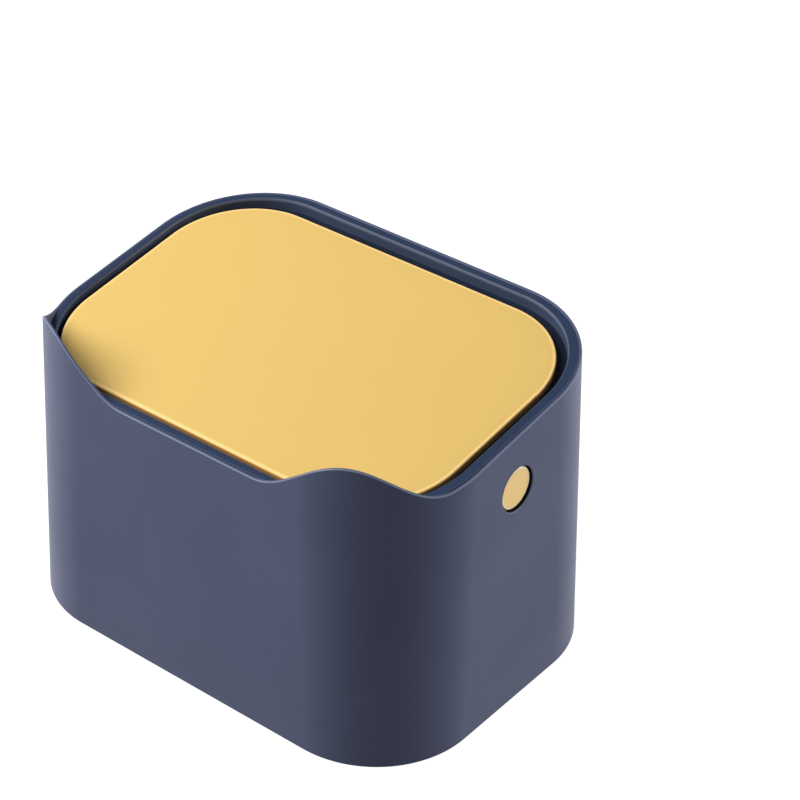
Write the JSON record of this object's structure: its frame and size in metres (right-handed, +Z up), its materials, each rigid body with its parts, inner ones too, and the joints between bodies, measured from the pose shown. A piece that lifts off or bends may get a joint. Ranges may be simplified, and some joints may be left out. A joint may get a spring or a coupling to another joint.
{
  "type": "desktop_trash_can",
  "caption": "Small desktop trash can with a raised ear at each front corner, a sloping rim, a sunk pop-up lid on sprung hinges and a round push button that frees the latch",
  "frame": {"origin": "middle of the underside, on the table", "axes": "+X towards the push button, -Y towards the low front of the rim with the ears, +Z up"},
  "size_m": [0.205, 0.1464, 0.1356],
  "materials": {
    "navy_plastic": "fine satin injection-moulded ABS, blue-grey navy",
    "yellow_plastic": "smooth satin ABS, warm pale yellow",
    "grey_plastic": "plain moulded ABS, as the body",
    "white_plastic": "natural acetal, slightly waxy",
    "steel": "bright zinc-plated steel",
    "spring_steel": "drawn spring wire"
  },
  "bodies": {
    "base": {"outer_barrel": "navy_plastic", "top_frame": "navy_plastic", "hinge_pin_front": "steel", "hinge_pin_back": "steel", "torsion_spring_front": "spring_steel", "torsion_spring_back": "spring_steel", "latch_case": "white_plastic", "case_screws": "steel", "return_spring": "spring_steel"},
    "lid": {"lid_cover": "yellow_plastic", "lid_inner_panel": "grey_plastic", "lid_hook": "white_plastic", "hook_screws": "steel"},
    "button": {"push_button": "yellow_plastic", "button_plunger": "white_plastic"}
  },
  "joints": [
    {"name": "lid_hinge", "type": "hinge", "parent": "base", "child": "lid", "pos_m": [-0.0689, 0, 0.1187], "axis": [0, -0.9882, -0.1532], "range_deg": [0, 75], "deforming": ["torsion_spring_front", "torsion_spring_back", "lid_hook"]},
    {"name": "button_press", "type": "slide", "parent": "base", "child": "button", "axis": [-1, 0, 0], "range_m": [0, 0.003], "stiffness_N_per_m": 800, "deforming": ["return_spring", "lid_hook"]}
  ]
}
